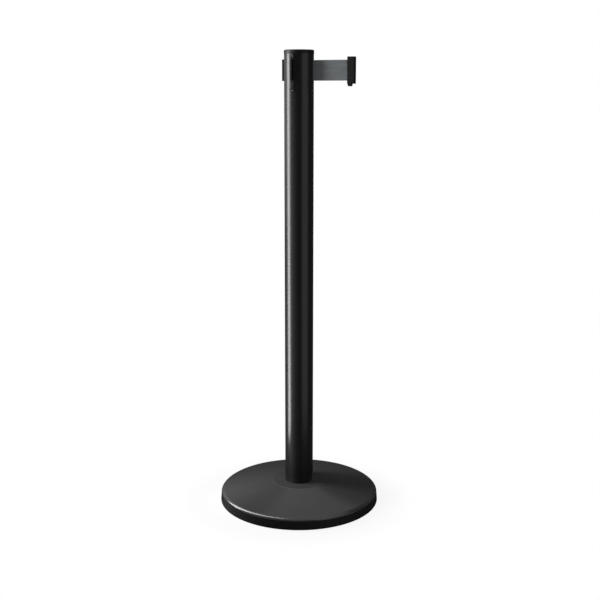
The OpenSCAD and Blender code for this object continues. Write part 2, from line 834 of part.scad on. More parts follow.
// Side view of the pin's head: a taper with its wide side up
module pin_head_outline() {
    tip_z = clip_z - pin_head_h;
    polygon([
        [-pin_tip_w / 2, tip_z], [pin_tip_w / 2, tip_z],
        [pin_head_w / 2, clip_z], [-pin_head_w / 2, clip_z]
    ]);
}

module belt_pin() {
    tip_z = clip_z - pin_head_h;
    color(black_plastic) translate([chamber_x, 0, 0]) {
        difference() {
            intersection() {
                translate([0, pin_head_w / 2, 0]) rotate([90, 0, 0])
                    linear_extrude(pin_head_w) pin_head_outline();
                along_x(-pin_head_w / 2, pin_head_w / 2) pin_head_outline();
            }
            box(
                [-pin_notch_w / 2, -pin_head_w, tip_z - past],
                [pin_notch_w / 2, pin_head_w, tip_z + pin_notch_h]
            );
        }
        translate([0, 0, clip_z - past]) cylinder(r = chamber_r - close_gap, h = pin_collar_h + past);
        translate([0, 0, clip_z - past]) cylinder(r = pin_r, h = pin_top_z - clip_z + past);
    }
}

rim_ring();
base_weight();
base_cover();
base_bolt();
bolt_washer();
foot_plug();
post_tube();
top_cap();
cassette_frame();
cassette_lid();
lid_screws();
spindle();
thrust_washer_lower();
thrust_washer_upper();
spool();
bush_lower();
bush_upper();
power_spring();
spring_cover();
belt_wound();
belt_free();
outlet_plate();
receiver_plate_rear();
receiver_plate_left();
receiver_plate_front();
receiver_rail_rear();
receiver_rail_left();
receiver_rail_front();
plate_screws();
belt_end_body();
belt_pin();
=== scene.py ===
# %% [markdown]
# # A retractable belt stanchion
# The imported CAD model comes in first. It is a fixed frame: its solids say where every
# piece sits, and its bodies say what moves. This lesson dresses that frame. Pieces that
# show are modelled again with finer edges, and every surface gets a finish of its own.

# %% Load the frame
import json
import math

import bmesh
import bpy
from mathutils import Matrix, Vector


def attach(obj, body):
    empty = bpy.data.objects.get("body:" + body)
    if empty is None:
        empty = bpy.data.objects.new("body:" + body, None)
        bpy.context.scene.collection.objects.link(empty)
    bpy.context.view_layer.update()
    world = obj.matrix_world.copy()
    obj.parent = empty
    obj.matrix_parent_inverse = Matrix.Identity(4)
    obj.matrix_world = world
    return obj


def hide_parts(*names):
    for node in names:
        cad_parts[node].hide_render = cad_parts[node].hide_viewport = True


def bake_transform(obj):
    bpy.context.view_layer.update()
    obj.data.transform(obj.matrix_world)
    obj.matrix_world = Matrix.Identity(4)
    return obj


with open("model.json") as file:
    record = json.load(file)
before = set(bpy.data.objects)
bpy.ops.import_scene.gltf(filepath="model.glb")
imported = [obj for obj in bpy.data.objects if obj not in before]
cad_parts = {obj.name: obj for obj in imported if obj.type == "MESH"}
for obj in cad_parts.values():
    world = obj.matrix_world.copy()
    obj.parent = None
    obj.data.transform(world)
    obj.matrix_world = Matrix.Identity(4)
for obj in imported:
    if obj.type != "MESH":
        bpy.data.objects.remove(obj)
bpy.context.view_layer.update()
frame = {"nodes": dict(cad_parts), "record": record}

# %% [markdown]
# ## The camera
# The eye of the photograph was found by fitting the ellipses of the base and the edges of
# the post. It stands 2.15 m away, a little lower than the head of the post, and looks down
# by 12 degrees. A camera that tracks an aim point would need a constraint, so the angle is
# worked out from the direction once, and the camera is left free of constraints.

# %% Place the camera
MM = 0.001
EYE_TURN = math.radians(26)        # from the front, -Y, towards the belt side, +X
EYE_RANGE = 2152 * MM              # level distance from the post
EYE_HEIGHT = 932 * MM
EYE_DIP = math.radians(12.16)
FRAME_ASIDE = math.radians(0.057)  # the post stands a pixel left of the picture's middle
PICTURE_WIDE = 600                 # pixels
FOCAL = 986.8                      # focal length, in pixels too
SENSOR_WIDE = 36


def around(turn, reach, height):
    """Point at a level distance from the post, turned from the front towards the belt side."""
    return Vector((math.sin(turn) * reach, -math.cos(turn) * reach, height))


bpy.ops.object.select_all(action="DESELECT")
bpy.ops.object.camera_add(
    location=around(EYE_TURN, EYE_RANGE, EYE_HEIGHT),
    rotation=(math.pi / 2 - EYE_DIP, 0, EYE_TURN - FRAME_ASIDE),
)
eye = bpy.context.object
eye.name = "photo_eye"
eye.data.sensor_width = SENSOR_WIDE
eye.data.lens = FOCAL / PICTURE_WIDE * SENSOR_WIDE
bpy.context.scene.camera = eye
bpy.context.scene.view_settings.view_transform = "Standard"
print("camera at", [round(v, 3) for v in eye.location], "lens", round(eye.data.lens, 2))

# %% [markdown]
# ## The set
# The photograph shows the post on plain white. The floor is a wide pale sheet that shows
# itself white to the eye and to mirrors, and still darkens a little where the object keeps
# light from it. The sky behind it is white in the same way, and gives only a weak light.
# Blender can also sample a glowing surface as a lamp. For the set that would only add grain
# to the picture, so it is switched off.


# %% Helpers for shader nodes
def put(tree, kind, inputs=(), **settings):
    """Add a node; an input that is a socket is linked, any other value is set."""
    node = tree.nodes.new(kind)
    for name, value in settings.items():
        setattr(node, name, value)
    for name, value in dict(inputs).items():
        if isinstance(value, bpy.types.NodeSocket):
            tree.links.new(value, node.inputs[name])
        else:
            node.inputs[name].default_value = value
    return node


def math_node(tree, operation, *values):
    """Add a Math node and return its output."""
    return put(tree, "ShaderNodeMath", enumerate(values), operation=operation).outputs[0]


def ramp(tree, value, low, high, start=0.0, stop=1.0, kind="SMOOTHSTEP"):
    """Go from a start to a stop while a value goes from low to high."""
    return put(tree, "ShaderNodeMapRange", {
        "Value": value, "From Min": low, "From Max": high, "To Min": start, "To Max": stop},
        interpolation_type=kind).outputs[0]


def seen_or_mirrored(tree):
    """1 for rays from the eye, from mirrors and through glass, and 0 for the light itself."""
    path = put(tree, "ShaderNodeLightPath")
    seen = math_node(tree, "MAXIMUM", path.outputs["Is Camera Ray"], path.outputs["Is Glossy Ray"])
    return math_node(tree, "MAXIMUM", seen, path.outputs["Is Transmission Ray"])


def stage_material(name):
    """Make a material for the set, with an empty tree, that isn't sampled as a lamp."""
    material = bpy.data.materials.new(name)
    material.use_nodes = True
    material.cycles.emission_sampling = "NONE"
    material.node_tree.nodes.clear()
    return material, material.node_tree


# %% Make the sky
WHITE = (1, 1, 1, 1)
SKY_GLOW = 0.2         # light that the sky gives to the object

sky = bpy.data.worlds.new("studio_sky")
bpy.context.scene.world = sky
sky.use_nodes = True
tree = sky.node_tree
tree.nodes.clear()
dim = put(tree, "ShaderNodeBackground", {"Color": WHITE, "Strength": SKY_GLOW})
full = put(tree, "ShaderNodeBackground", {"Color": WHITE, "Strength": 1.0})
both = put(tree, "ShaderNodeMixShader", {
    0: seen_or_mirrored(tree), 1: dim.outputs[0], 2: full.outputs[0]})
put(tree, "ShaderNodeOutputWorld", {"Surface": both.outputs[0]})
print("sky shows itself white and lights with", SKY_GLOW)

# %% Lay the floor
FLOOR_SIZE = 9.0
FLOOR_PALE = (0.9, 0.9, 0.9, 1)
SHADOW_DEPTH = 0.1          # share of the floor's own shading that shows
SHADOW_FADE = (0.18, 0.28)  # from this distance to that one the floor turns plain white

floor_paper, tree = stage_material("floor_paper")
spot = put(tree, "ShaderNodeTexCoord").outputs["Object"]
apart = put(tree, "ShaderNodeVectorMath", {0: spot}, operation="LENGTH").outputs["Value"]
plain = ramp(tree, apart, *SHADOW_FADE, start=1 - SHADOW_DEPTH)
paper = put(tree, "ShaderNodeBsdfDiffuse", {"Color": FLOOR_PALE})
shine = put(tree, "ShaderNodeEmission", {"Color": WHITE, "Strength": 1.0})
share = math_node(tree, "MULTIPLY", plain, seen_or_mirrored(tree))
both = put(tree, "ShaderNodeMixShader", {0: share, 1: paper.outputs[0], 2: shine.outputs[0]})
put(tree, "ShaderNodeOutputMaterial", {"Surface": both.outputs[0]})

bpy.ops.object.select_all(action="DESELECT")
bpy.ops.mesh.primitive_plane_add(size=FLOOR_SIZE)
floor = bpy.context.object
floor.name = "floor"
floor.data.materials.append(floor_paper)
print("floor", FLOOR_SIZE, "m wide, shadows keep", SHADOW_DEPTH, "of their depth")

# %% [markdown]
# ## The lamps
# The bright line down the left of the post is the mirror image of a narrow, tall lamp. It
# stands close, a quarter of a metre away, so that its image reaches down almost to the base,
# and it leans a little, as the line in the photograph does. A broad weak lamp on the right
# makes the second, dim line. It is there for mirrors only, because the belt can be pulled
# out past it. A large lamp far away, which mirrors don't see, lights belt and base evenly.

# %% Hang the lamps
AIM_TOP = 0.7    # a lamp that hangs higher is tilted down to this height on the post
LAMPS = {
    # name: turn from the eye and lean in degrees, distance, height, width, tall, watts
    "tall_left": (-84.8, 1.5, 0.25, 0.693, 0.097, 1.234, 4.06),
    "broad_right": (47, 0, 0.50, 0.66, 0.46, 1.30, 0.95),
    "far_fill": (20, 0, 4.0, 3.8, 2.0, 2.0, 16.0),
}


def hang_lamp(name, place, aim, lean, width, tall, watts):
    """Add a soft rectangular lamp that faces a point and stays out of the picture."""
    turn = (Vector(aim) - Vector(place)).to_track_quat("-Z", "Y").to_euler()
    bpy.ops.object.light_add(type="AREA", location=place, rotation=turn)
    lamp = bpy.context.object
    lamp.name = name
    lamp.rotation_euler.rotate_axis("Z", math.radians(lean))
    lamp.data.shape = "RECTANGLE"
    lamp.data.size = width
    lamp.data.size_y = tall
    lamp.data.energy = watts
    lamp.visible_camera = False
    print(name, "radiance", round(watts / (math.pi * width * tall), 2))


for name, (turn, lean, gap, height, *rest) in LAMPS.items():
    place = around(EYE_TURN + math.radians(turn), gap, height)
    hang_lamp(name, place, (0, 0, min(height, AIM_TOP)), lean, *rest)
bpy.data.objects["broad_right"].visible_diffuse = False
bpy.data.objects["far_fill"].visible_glossy = False

# %% [markdown]
# ## What black paint mirrors
# Black gloss paint shows little but what it mirrors, so photographers hang black cards and
# soft panels around it. Here one round curtain, which only mirrors see, does the work of all
# of them. It is dark all round. A soft panel behind the post makes the bright wedge on the
# base. A glow at the left, a weaker one in front, near the floor, and a lighter ceiling keep
# the edges of the dark pieces apart. Each glow is worked out from where a point of the cloth
# lies, because the hard edge of a card would show on the base.

# %% Where a point of the cloth lies
dark_cloth, tree = stage_material("dark_cloth")
spot = put(tree, "ShaderNodeTexCoord").outputs["Object"]


def cloth_along(direction):
    """How far the cloth's point lies in a direction."""
    node = put(tree, "ShaderNodeVectorMath", {0: spot, 1: direction}, operation="DOT_PRODUCT")
    return node.outputs["Value"]


def cloth_product(first, *others):
    """Several masks of the cloth, multiplied."""
    for other in others:
        first = math_node(tree, "MULTIPLY", first, other)
    return first


right = cloth_along(around(EYE_TURN + math.pi / 2, 1, 0))
behind = cloth_along(around(EYE_TURN + math.pi, 1, 0))
up = cloth_along((0, 0, 1))
by_left = math_node(tree, "ARCTAN2", math_node(tree, "MULTIPLY", right, -1.0), behind)
print("the cloth's places:", len(tree.nodes), "nodes")

# %% Dye the curtain
CURTAIN_DARK = 0.05
PANEL_GLOW = 0.33
PANEL_BEHIND = (1.6, 1.72)   # distances behind the post over which the panel comes in
PANEL_EDGE = 1.548           # height of its lower edge straight behind the post
PANEL_FALL = 0.36            # slope at which that edge falls to the right
PANEL_SOFT = 0.05
SIDE_GLOW = 0.5
SIDE_IN = (0.3, 0.8)         # turns in radians, from behind the post by way of the left
SIDE_OUT = (1.9, 1.6)
SIDE_HEIGHT = (0.2, 0.8)
FRONT_GLOW = 0.36
FRONT_IN = (1.6, 1.9)
FRONT_OUT = (2.8, 1.9)
FRONT_HEIGHT = (1.2, 0.7)
TOP_GLOW = 0.6
TOP_HEIGHT = (2.45, 2.6)

over_edge = math_node(tree, "MULTIPLY_ADD", right, PANEL_FALL, up)
panel = cloth_product(
    ramp(tree, behind, *PANEL_BEHIND, stop=PANEL_GLOW),
    ramp(tree, over_edge, PANEL_EDGE - PANEL_SOFT, PANEL_EDGE + PANEL_SOFT))
side = cloth_product(
    ramp(tree, by_left, *SIDE_IN, stop=SIDE_GLOW), ramp(tree, by_left, *SIDE_OUT),
    ramp(tree, up, *SIDE_HEIGHT))
front = cloth_product(
    ramp(tree, by_left, *FRONT_OUT, stop=FRONT_GLOW), ramp(tree, by_left, *FRONT_IN),
    ramp(tree, up, *FRONT_HEIGHT))
glow = CURTAIN_DARK
for patch in (panel, side, front, ramp(tree, up, *TOP_HEIGHT, stop=TOP_GLOW)):
    glow = math_node(tree, "ADD", patch, glow)
cloth = put(tree, "ShaderNodeEmission", {"Color": WHITE, "Strength": glow})
put(tree, "ShaderNodeOutputMaterial", {"Surface": cloth.outputs[0]})
print("dark cloth with", len(tree.nodes), "nodes")

# %% [markdown]
# The curtain itself starts as a small ring on the floor. It is extruded outwards, up and in
# again, so that it closes round the whole set, and then hidden from all but mirrors.

# %% Hang the curtain
CURTAIN = ((0.03, 0.0002), (1.8, 0.0002), (1.8, 2.6), (0.02, 2.6))   # radius and height of its section
CURTAIN_SIDES = 96


def settle():
    """Put the active piece's place, turn and size into its mesh."""
    bpy.ops.object.transform_apply(location=True, rotation=True, scale=True)


bpy.ops.object.select_all(action="DESELECT")
bpy.ops.mesh.primitive_circle_add(
    vertices=CURTAIN_SIDES, radius=CURTAIN[0][0], location=(0, 0, CURTAIN[0][1]))
curtain = bpy.context.object
curtain.name = "dark_curtain"
settle()
bpy.ops.object.mode_set(mode="EDIT")
bpy.ops.mesh.select_all(action="SELECT")
for (near, low), (far, high) in zip(CURTAIN, CURTAIN[1:]):
    bpy.ops.mesh.extrude_region_move(TRANSFORM_OT_translate={"value": (0, 0, high - low)})
    bpy.ops.transform.resize(value=(far / near, far / near, 1), center_override=(0, 0, high))
bpy.ops.object.mode_set(mode="OBJECT")
curtain.data.materials.append(dark_cloth)
for kind in ("camera", "diffuse", "transmission", "volume_scatter", "shadow"):
    setattr(curtain, "visible_" + kind, False)
print("curtain with", len(curtain.data.polygons), "faces, seen by mirrors only")

# %% [markdown]
# ## Finishes
# Nearly everything that shows on this object is black, so the finishes differ in gloss and
# in grain and hardly in colour. Two effects are shared. One is the grain of a coat: the fine
# peel of powder paint, the sparked skin of a mould or the pores of a casting, each at its own
# size. The other is handling: faint smears that change the gloss from place to place, and a
# trace of dust. Both are node groups, built once and used with different numbers.


# %% A new node group
def new_group(name, inputs, outputs):
    """Make a shader node group with a vector input, float inputs and float outputs."""
    group = bpy.data.node_groups.new(name, "ShaderNodeTree")
    group.interface.new_socket("Vector", in_out="INPUT", socket_type="NodeSocketVector")
    for label in inputs:
        group.interface.new_socket(label, in_out="INPUT", socket_type="NodeSocketFloat")
    for label in outputs:
        group.interface.new_socket(label, in_out="OUTPUT", socket_type="NodeSocketFloat")
    source = group.nodes.new("NodeGroupInput")
    sink = group.nodes.new("NodeGroupOutput")
    return group, source.outputs, sink.inputs


# %% The grain of a coat
SLOW_SHARE = 0.02    # scale of the slow tone, against that of the grain


def grain_group():
    """Peel: rounded cells with fine noise. Tone: slow change over the surface."""
    group, given, wanted = new_group("coat_grain", ["Scale", "Roundness"], ["Peel", "Tone"])
    cells = put(group, "ShaderNodeTexVoronoi", {"Vector": given["Vector"], "Scale": given["Scale"]},
                feature="SMOOTH_F1").outputs["Distance"]
    fine = put(group, "ShaderNodeTexNoise", {
        "Vector": given["Vector"], "Scale": given["Scale"], "Detail": 3.0}).outputs["Fac"]
    peel = put(group, "ShaderNodeMix", {0: given["Roundness"], 2: fine, 3: cells}, data_type="FLOAT")
    slow_scale = math_node(group, "MULTIPLY", given["Scale"], SLOW_SHARE)
    slow = put(group, "ShaderNodeTexNoise", {
        "Vector": given["Vector"], "Scale": slow_scale, "Detail": 4.0}).outputs["Fac"]
    group.links.new(peel.outputs[0], wanted["Peel"])
    group.links.new(slow, wanted["Tone"])
    return group


COAT_GRAIN = grain_group()
print("group:", COAT_GRAIN.name)

# %% Smears and dust
UPRIGHT = (1, 1, 0.3)       # stretches the smears along the post
SMEARED = (0.38, 0.68)      # noise values from clean to fully smeared
SPECK_FINE = 40.0           # specks of dust are this many times finer than smears
SPECK_SIZE = (0.06, 0.14)
LEVEL = (0.5, 1.0)          # upward part of the normal where dust starts to lie and lies fully
SETTLED = 0.35              # even dust between the specks


def handling_group():
    """Smear: wiped patches, stretched upright. Dust: specks and settled dust on level faces."""
    group, given, wanted = new_group("handling", ["Scale"], ["Smear", "Dust"])
    tall = put(group, "ShaderNodeMapping", {"Vector": given["Vector"], "Scale": UPRIGHT})
    wiped = put(group, "ShaderNodeTexNoise", {
        "Vector": tall.outputs[0], "Scale": given["Scale"], "Detail": 5.0, "Distortion": 0.6})
    smear = ramp(group, wiped.outputs["Fac"], *SMEARED, kind="LINEAR")
    speck_scale = math_node(group, "MULTIPLY", given["Scale"], SPECK_FINE)
    specks = put(group, "ShaderNodeTexVoronoi", {"Vector": given["Vector"], "Scale": speck_scale})
    speck = ramp(group, specks.outputs["Distance"], *SPECK_SIZE, start=1.0, stop=0.0, kind="LINEAR")
    facing = put(group, "ShaderNodeSeparateXYZ", {0: put(group, "ShaderNodeNewGeometry").outputs["Normal"]})
    level = ramp(group, facing.outputs["Z"], *LEVEL, kind="LINEAR")
    veil = math_node(group, "MULTIPLY", level, wiped.outputs["Fac"])
    dust = math_node(group, "MULTIPLY", veil, math_node(group, "ADD", speck, SETTLED))
    group.links.new(smear, wanted["Smear"])
    group.links.new(dust, wanted["Dust"])
    return group


HANDLING = handling_group()
print("group:", HANDLING.name)

# %% [markdown]
# A coated finish mixes two close colours by the slow tone, lays a trace of dust over them,
# lets smears change the roughness, and takes its bump from the peel. The grain is given in
# millimetres, which is how one would measure it on the real surface.

# %% A coated finish
DUST_COLOUR = (0.32, 0.31, 0.29, 1)
SMEAR_SCALE = 9.0
PEEL_BUMP = 0.6


def new_finish(name):
    """Make a material and return it with its tree and its Principled shader."""
    finish = bpy.data.materials.new(name)
    finish.use_nodes = True
    return finish, finish.node_tree, finish.node_tree.nodes["Principled BSDF"]


def mix_colours(tree, share, dark, light, **settings):
    """Mix two colours, given or linked, by a share, and return the output."""
    return put(tree, "ShaderNodeMix", {0: share, 6: dark, 7: light}, data_type="RGBA", **settings).outputs[2]


def raise_bump(tree, skin, height, strength, depth_mm):
    """Let a height between 0 and 1 stand for a depth in millimetres on the skin."""
    bump = put(tree, "ShaderNodeBump", {"Height": height, "Strength": strength, "Distance": depth_mm * MM})
    tree.links.new(bump.outputs[0], skin.inputs["Normal"])


def coated(name, dark, light, rough, grain_mm, depth_mm, roundness=0.5, gloss=0.5, smear=0.06,
           dust=0.05, metal=0.0):
    """Paint, plastic, rubber or casting: a grainy coat with a little handling on it."""
    finish, tree, skin = new_finish(name)
    spot = put(tree, "ShaderNodeTexCoord").outputs["Object"]
    grain = put(tree, "ShaderNodeGroup", {
        "Vector": spot, "Scale": 1 / (grain_mm * MM), "Roundness": roundness}, node_tree=COAT_GRAIN)
    handled = put(tree, "ShaderNodeGroup", {"Vector": spot, "Scale": SMEAR_SCALE}, node_tree=HANDLING)
    tone = mix_colours(tree, grain.outputs["Tone"], (*dark, 1), (*light, 1))
    veil = math_node(tree, "MULTIPLY", handled.outputs["Dust"], dust)
    tree.links.new(mix_colours(tree, veil, tone, DUST_COLOUR), skin.inputs["Base Color"])
    wiped = math_node(tree, "MULTIPLY_ADD", handled.outputs["Smear"], smear, rough)
    tree.links.new(wiped, skin.inputs["Roughness"])
    raise_bump(tree, skin, grain.outputs["Peel"], PEEL_BUMP, depth_mm)
    skin.inputs["Specular IOR Level"].default_value = gloss
    skin.inputs["Metallic"].default_value = metal
    return finish


# %% Mix the coated finishes
def grey(value, warm=0.0):
    """A near-neutral colour, warmer for a positive second number."""
    return (value * (1 + warm), value, value * (1 - warm))


COATS = {
    # name: dark and light colour, roughness, grain and its depth in millimetres, other settings
    "tube_paint": (grey(0.0115), grey(0.0145), 0.26, 2.4, 0.0001, dict(smear=0.03)),
    "base_paint": (grey(0.046), grey(0.052), 0.14, 0.55, 0.0005, dict(smear=0.03)),
    "cap_plastic": (grey(0.004), grey(0.006), 0.45, 0.5, 0.003, dict(roundness=0.2, gloss=0.3, dust=0.02)),
    "clip_plastic": (grey(0.011), grey(0.014), 0.4, 0.45, 0.005, dict(roundness=0.2, gloss=0.2)),
    "rail_plastic": (grey(0.004), grey(0.005), 0.5, 0.45, 0.01, dict(roundness=0.2, gloss=0.2)),
    "ring_rubber": (grey(0.009), grey(0.011), 0.5, 0.8, 0.004, dict(roundness=0.3, gloss=0.3)),
    "weight_iron": (grey(0.07), grey(0.11), 0.7, 2.2, 0.25, dict(roundness=0.35, metal=0.6)),
    "cassette_nylon": (grey(0.5, 0.05), grey(0.58, 0.04), 0.45, 0.6, 0.015, dict(roundness=0.2)),
    "washer_nylon": (grey(0.7, 0.03), grey(0.77, 0.03), 0.4, 0.9, 0.01, dict(roundness=0.2)),
    "bush_bronze": ((0.42, 0.26, 0.12), (0.56, 0.38, 0.19), 0.42, 0.35, 0.03, dict(metal=1.0)),
}
FINISH = {name: coated(name, *values, **extra) for name, (*values, extra) in COATS.items()}
print("coated finishes:", list(FINISH))

# %% [markdown]
# ## Bare metal
# Screws, bolts and the spring are bare or plated steel. What tells steel from grey plastic
# is the trace of the tool: fine lines that run one way. A wave texture gives the lines, and
# its distortion breaks them up, so that no two stretches look alike.

# %% A tooled steel finish
WAVE_RADIANS = 20.0       # a wave texture turns by this many radians a metre at a scale of 1
FINE_SMEARS = 120.0
LINE_ROUGH = 0.12         # what the lines add to the roughness
LINE_BUMP = 0.5
LINE_DEPTH = 0.004        # millimetres


def tooled(name, dark, light, rough, radian_mm, bands):
    """Steel with fine lines across one axis; a radian of their wave has a given length."""
    finish, tree, skin = new_finish(name)
    spot = put(tree, "ShaderNodeTexCoord").outputs["Object"]
    lines = put(tree, "ShaderNodeTexWave", {
        "Vector": spot, "Scale": 1 / (WAVE_RADIANS * radian_mm * MM), "Distortion": 3.0, "Detail": 3.0,
        "Detail Scale": 2.0}, bands_direction=bands).outputs["Fac"]
    handled = put(tree, "ShaderNodeGroup", {"Vector": spot, "Scale": FINE_SMEARS}, node_tree=HANDLING)
    tone = mix_colours(tree, handled.outputs["Smear"], (*dark, 1), (*light, 1))
    tree.links.new(tone, skin.inputs["Base Color"])
    worn = math_node(tree, "MULTIPLY_ADD", lines, LINE_ROUGH, rough)
    tree.links.new(worn, skin.inputs["Roughness"])
    raise_bump(tree, skin, lines, LINE_BUMP, LINE_DEPTH)
    skin.inputs["Metallic"].default_value = 1.0
    return finish


STEELS = {
    # name: dark and light colour, roughness, length of a radian of the lines, their direction
    "plain_steel": (grey(0.42), grey(0.55), 0.28, 0.3, "Z"),
    "screw_steel": ((0.58, 0.59, 0.6), (0.7, 0.71, 0.71), 0.2, 0.2, "DIAGONAL"),
    "spring_steel": ((0.2, 0.22, 0.27), (0.33, 0.34, 0.37), 0.3, 0.25, "Z"),
}
for name, values in STEELS.items():
    FINISH[name] = tooled(name, *values)
print("steel finishes:", list(STEELS))

# %% [markdown]
# ## The webbing's finish
# The belt is a thin polyester webbing. Seen close, its warp threads run along the belt and
# the weft crosses over and under them, so the surface is a grid of small pillows, with a
# slightly lighter selvedge along both edges. The hollows between the pillows get painted
# shade in the colour. The pattern follows real millimetres along the belt and up it. The
# part that shows reads them from Object coordinates, so the threads keep their size when
# the belt is pulled out. The coil on the reel reads its own flat map.

# %% The weave
RIDGE = 0.45                # share of the warp's ridges in the height of the cloth
OVER = (0.3, 0.35)          # share of the crossings, and the height between them
SELVEDGE = (0.9, 0.96)      # share of the half width where it starts and is full
STREAKS = (22.0, 160.0)     # fineness of the streaks along the belt and up it


def weave_group():
    """Threads: pillow height of a plain weave. Edge: 1 in the selvedge. Fade: slow streaks."""
    group, given, wanted = new_group(
        "webbing_weave", ["Along", "Up", "Half Width", "Thread"], ["Threads", "Edge", "Fade"])
    turns = math_node(group, "DIVIDE", math.pi, given["Thread"])
    warp = math_node(group, "SINE", math_node(group, "MULTIPLY", given["Up"], turns))
    weft = math_node(group, "SINE", math_node(group, "MULTIPLY", given["Along"], turns))
    over = math_node(group, "MULTIPLY", warp, weft)
    ridge = math_node(group, "MULTIPLY", math_node(group, "ABSOLUTE", warp), RIDGE)
    pillow = math_node(group, "ADD", math_node(group, "MULTIPLY_ADD", over, *OVER), ridge)
    from_middle = math_node(group, "DIVIDE", math_node(group, "ABSOLUTE", given["Up"]), given["Half Width"])
    where = put(group, "ShaderNodeCombineXYZ", {
        0: math_node(group, "MULTIPLY", given["Along"], STREAKS[0]),
        1: math_node(group, "MULTIPLY", given["Up"], STREAKS[1])})
    streak = put(group, "ShaderNodeTexNoise", {"Vector": where.outputs[0], "Scale": 1.0, "Detail": 4.0})
    group.links.new(pillow, wanted["Threads"])
    group.links.new(ramp(group, from_middle, *SELVEDGE), wanted["Edge"])
    group.links.new(streak.outputs["Fac"], wanted["Fade"])
    return group


WEAVE = weave_group()
print("group:", WEAVE.name)

# %% A woven finish
BELT_SPAN = (945.7, 988.2)                   # heights of the belt's edges, in millimetres
BELT_MID = sum(BELT_SPAN) / 2 * MM
BELT_HALF = (BELT_SPAN[1] - BELT_SPAN[0]) / 2 * MM
THREAD = 0.55 * MM
BELT_DARK = (0.183, 0.2, 0.211, 1)
BELT_LIGHT = (0.317, 0.334, 0.348, 1)
# painted shade: the colour is darkened in the hollows between the threads
PAINTED_HOLLOW_SHADE = (0.45, 0.45, 0.45, 1)         # what is left of the colour between the threads
HEM_COLOUR = (0.3, 0.315, 0.325, 1)
HEM_SHARE = 0.45
THREAD_ROUGH = (-0.15, 0.75)                 # change at the top of a thread, and the rest
THREAD_BUMP = 0.7
THREAD_DEPTH = 0.12                          # millimetres


def woven(name, by_map):
    """Charcoal webbing with painted shade between its threads, that reads the belt's own map or the object's
    place.
    """
    finish, tree, skin = new_finish(name)
    coords = put(tree, "ShaderNodeTexCoord").outputs["UV" if by_map else "Object"]
    place = put(tree, "ShaderNodeSeparateXYZ", {0: coords})
    up = math_node(tree, "SUBTRACT", place.outputs["Y" if by_map else "Z"], BELT_MID)
    cloth = put(tree, "ShaderNodeGroup", {
        "Along": place.outputs["X"], "Up": up, "Half Width": BELT_HALF, "Thread": THREAD}, node_tree=WEAVE)
    threads = cloth.outputs["Threads"]
    streaked = mix_colours(tree, cloth.outputs["Fade"], BELT_DARK, BELT_LIGHT)
    # painted shade in the hollows, where the threads lie low
    shaded = mix_colours(tree, threads, PAINTED_HOLLOW_SHADE, WHITE)
    thread = mix_colours(tree, 1.0, streaked, shaded, blend_type="MULTIPLY")
    hem = math_node(tree, "MULTIPLY", cloth.outputs["Edge"], HEM_SHARE)
    tree.links.new(mix_colours(tree, hem, thread, HEM_COLOUR), skin.inputs["Base Color"])
    rough = math_node(tree, "MULTIPLY_ADD", threads, *THREAD_ROUGH)
    tree.links.new(rough, skin.inputs["Roughness"])
    raise_bump(tree, skin, threads, THREAD_BUMP, THREAD_DEPTH)
    skin.inputs["Specular IOR Level"].default_value = 0.3
    skin.inputs["Sheen Weight"].default_value = 0.15
    return finish


FINISH["belt_fabric"] = woven("belt_fabric", by_map=False)
COILED_FABRIC = woven("belt_fabric_coiled", by_map=True)
print("woven finish with threads of", round(THREAD / MM, 2), "mm")

# %% [markdown]
# ## Tools for modelling
# The pieces are made as by hand: add a primitive, go to edit mode, pick faces or edges by
# where they are, and extrude, bevel or spin them. A few helpers do the picking and the
# clean-up, so that the cells that follow read like the steps at the screen.


# %% Choose a piece and pick its parts
def choose(piece):
    """Select one piece alone, and make it the active one."""
    bpy.ops.object.select_all(action="DESELECT")
    piece.select_set(True)
    bpy.context.view_layer.objects.active = piece


def work_on(piece):
    """Choose one piece and open it in edit mode."""
    choose(piece)
    bpy.ops.object.mode_set(mode="EDIT")


def leave():
    """Go back to object mode."""
    bpy.ops.object.mode_set(mode="OBJECT")


def pick(piece, kind, test):
    """In edit mode, select the faces, edges or vertices that pass a test."""
    bpy.ops.mesh.select_mode(type=kind)
    bpy.ops.mesh.select_all(action="DESELECT")
    shape = bmesh.from_edit_mesh(piece.data)
    parts = {"FACE": shape.faces, "EDGE": shape.edges, "VERT": shape.verts}[kind]
    for part in parts:
        if test(part):
            part.select_set(True)
    shape.select_flush_mode()
    bmesh.update_edit_mesh(piece.data)


# %% [markdown]
# A round piece needs half a section and one spin. The section is a line of points, drawn by
# extruding a single vertex from each point to the next. After the spin the first and the
# last copy lie on each other and are merged, and the faces are turned outwards.


# %% Draw a line and spin it
def line_of(name, points):
    """Start from a plane, merge it to one vertex and extrude that along points."""
    bpy.ops.object.select_all(action="DESELECT")
    bpy.ops.mesh.primitive_plane_add(size=MM)
    piece = bpy.context.object
    piece.name = name
    work_on(piece)
    bpy.ops.mesh.select_mode(type="VERT")
    bpy.ops.mesh.select_all(action="SELECT")
    bpy.ops.mesh.merge(type="CENTER")
    bpy.ops.transform.translate(value=points[0])
    for here, there in zip(points, points[1:]):
        step = Vector(there) - Vector(here)
        bpy.ops.mesh.extrude_region_move(TRANSFORM_OT_translate={"value": step})
    return piece


def turned(name, outline_mm, steps=192):
    """Draw half a section as radius and height, in millimetres, and spin it round the post."""
    piece = line_of(name, [(r * MM, 0, z * MM) for r, z in outline_mm])
    bpy.ops.mesh.select_all(action="SELECT")
    bpy.ops.mesh.spin(steps=steps, angle=2 * math.pi, center=(0, 0, 0), axis=(0, 0, 1))
    bpy.ops.mesh.select_all(action="SELECT")
    bpy.ops.mesh.remove_doubles(threshold=0.001 * MM)
    bpy.ops.mesh.normals_make_consistent(inside=False)
    leave()
    return piece


